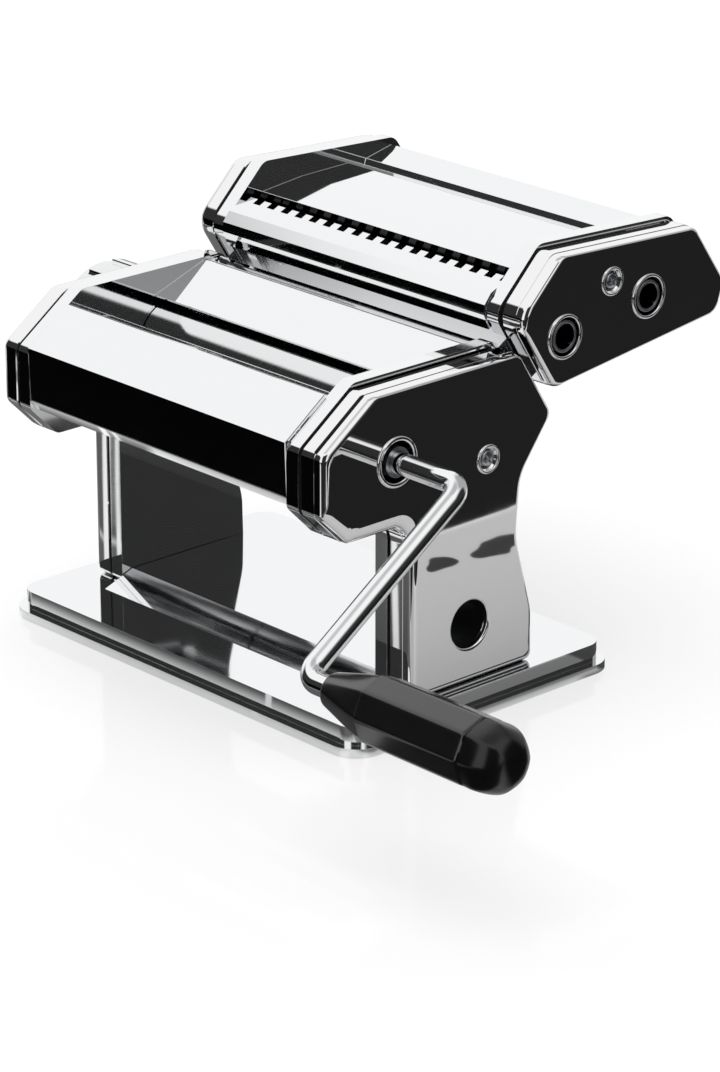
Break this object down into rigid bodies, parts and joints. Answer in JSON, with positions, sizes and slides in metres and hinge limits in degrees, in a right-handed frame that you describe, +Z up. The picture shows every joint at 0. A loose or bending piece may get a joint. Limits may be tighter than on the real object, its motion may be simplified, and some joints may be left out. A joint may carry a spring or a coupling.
{
  "type": "pasta roller machine",
  "caption": "Hand-cranked pasta roller machine with smooth rollers, a thickness knob, a wide chromed base and a slide-on cutter head.",
  "frame": {"origin": "centre of the base's underside", "axes": "+X along the rollers towards the crank, +Y to the back where the cutter head sits, +Z up"},
  "size_m": [0.352, 0.2671, 0.1724],
  "materials": {
    "chrome": "mirror-bright chromed steel",
    "steel": "zinc-plated steel",
    "roller_steel": "ground and chromed steel",
    "gear_steel": "machined steel",
    "bronze": "sintered bronze",
    "black_plastic": "moulded black plastic, satin",
    "knob_plastic": "chromed plastic",
    "scraper_plastic": "food-grade plastic",
    "rubber": "soft black rubber"
  },
  "bodies": {
    "frame": {"base_plate": "chrome", "rubber_feet": "rubber", "base_screws": "steel", "right_flank": "chrome", "left_flank": "chrome", "right_cover": "chrome", "left_cover": "chrome", "cover_posts": "steel", "cover_screws": "chrome", "front_panel": "chrome", "hopper_chute": "chrome", "rear_panel": "chrome", "front_scraper": "scraper_plastic", "rear_scraper": "scraper_plastic", "tie_rods": "steel", "tie_rod_nuts": "steel", "drive_bushes": "bronze", "hub_ring": "chrome", "dial_plate": "knob_plastic", "cutter_rails": "chrome"},
    "drive_roller": {"drive_roller": "roller_steel", "drive_shaft": "steel", "drive_gear": "gear_steel"},
    "crank": {"crank_rod": "chrome", "grip_clip": "steel"},
    "grip": {"grip": "black_plastic", "grip_cap": "black_plastic"},
    "thickness_shaft": {"thickness_shaft": "steel", "knob_washer": "steel", "knob_screw": "chrome", "knob_spring": "steel"},
    "knob": {"knob": "knob_plastic", "index_pin": "steel"},
    "roller_bushes": {"roller_bushes": "bronze"},
    "movable_roller": {"movable_roller": "roller_steel", "movable_gear": "gear_steel"},
    "cutter_head": {"cutter_right_flank": "chrome", "cutter_left_flank": "chrome", "cutter_right_cover": "chrome", "cutter_left_cover": "chrome", "cutter_posts": "steel", "cutter_screws": "chrome", "cutter_tie_rods": "steel", "cutter_rod_nuts": "steel", "cutter_bushes": "bronze", "socket_rings": "chrome", "cutter_front_sheet": "chrome", "cutter_apron": "chrome", "cutter_middle_sheet": "chrome", "cutter_rear_sheet": "chrome", "cutter_combs": "scraper_plastic"},
    "wide_driver": {"wide_driver": "roller_steel", "wide_driver_gear": "gear_steel"},
    "wide_follower": {"wide_follower": "roller_steel", "wide_follower_gear": "gear_steel"},
    "fine_driver": {"fine_driver": "roller_steel", "fine_driver_gear": "gear_steel"},
    "fine_follower": {"fine_follower": "roller_steel", "fine_follower_gear": "gear_steel"}
  },
  "joints": [
    {"name": "crank_turn", "type": "hinge", "parent": "frame", "child": "drive_roller", "pos_m": [0, -0.0408, 0.1096], "axis": [1, 0, 0], "continuous": true},
    {"name": "crank_pull", "type": "slide", "parent": "drive_roller", "child": "crank", "axis": [1, 0, 0], "range_m": [0, 0.03]},
    {"name": "grip_spin", "type": "hinge", "parent": "crank", "child": "grip", "pos_m": [0.19, -0.11836, 0.05649], "axis": [1, 0, 0], "continuous": true},
    {"name": "thickness_turn", "type": "hinge", "parent": "frame", "child": "thickness_shaft", "pos_m": [0, -0.00705, 0.1096], "axis": [1, 0, 0], "range_deg": [0, 180]},
    {"name": "knob_pull", "type": "slide", "parent": "thickness_shaft", "child": "knob", "axis": [-1, 0, 0], "range_m": [0, 0.005], "stiffness_N_per_m": 400, "springref_m": -0.004, "deforming": ["knob_spring"]},
    {"name": "roller_shift", "type": "hinge", "parent": "thickness_shaft", "child": "roller_bushes", "pos_m": [0, -0.0058, 0.1096], "axis": [1, 0, 0], "range_deg": [-180, 0]},
    {"name": "movable_turn", "type": "hinge", "parent": "roller_bushes", "child": "movable_roller", "pos_m": [0, -0.0058, 0.1096], "axis": [1, 0, 0], "continuous": true},
    {"name": "cutter_slide", "type": "slide", "parent": "frame", "child": "cutter_head", "axis": [0, -0.5313, 0.8472], "range_m": [0, 0.04]},
    {"name": "wide_turn", "type": "hinge", "parent": "cutter_head", "child": "wide_driver", "pos_m": [0, 0.04589, 0.13877], "axis": [1, 0, 0], "continuous": true},
    {"name": "wide_follow", "type": "hinge", "parent": "cutter_head", "child": "wide_follower", "pos_m": [0, 0.05933, 0.14818], "axis": [1, 0, 0], "continuous": true},
    {"name": "fine_turn", "type": "hinge", "parent": "cutter_head", "child": "fine_driver", "pos_m": [0, 0.0913, 0.14517], "axis": [1, 0, 0], "continuous": true},
    {"name": "fine_follow", "type": "hinge", "parent": "cutter_head", "child": "fine_follower", "pos_m": [0, 0.10671, 0.15078], "axis": [1, 0, 0], "continuous": true}
  ],
  "couplings": [
    {"joint": "movable_turn", "follows": "crank_turn", "ratio": -1},
    {"joint": "roller_shift", "follows": "thickness_turn", "ratio": -1},
    {"joint": "wide_follow", "follows": "wide_turn", "ratio": -1},
    {"joint": "fine_follow", "follows": "fine_turn", "ratio": -1}
  ]
}
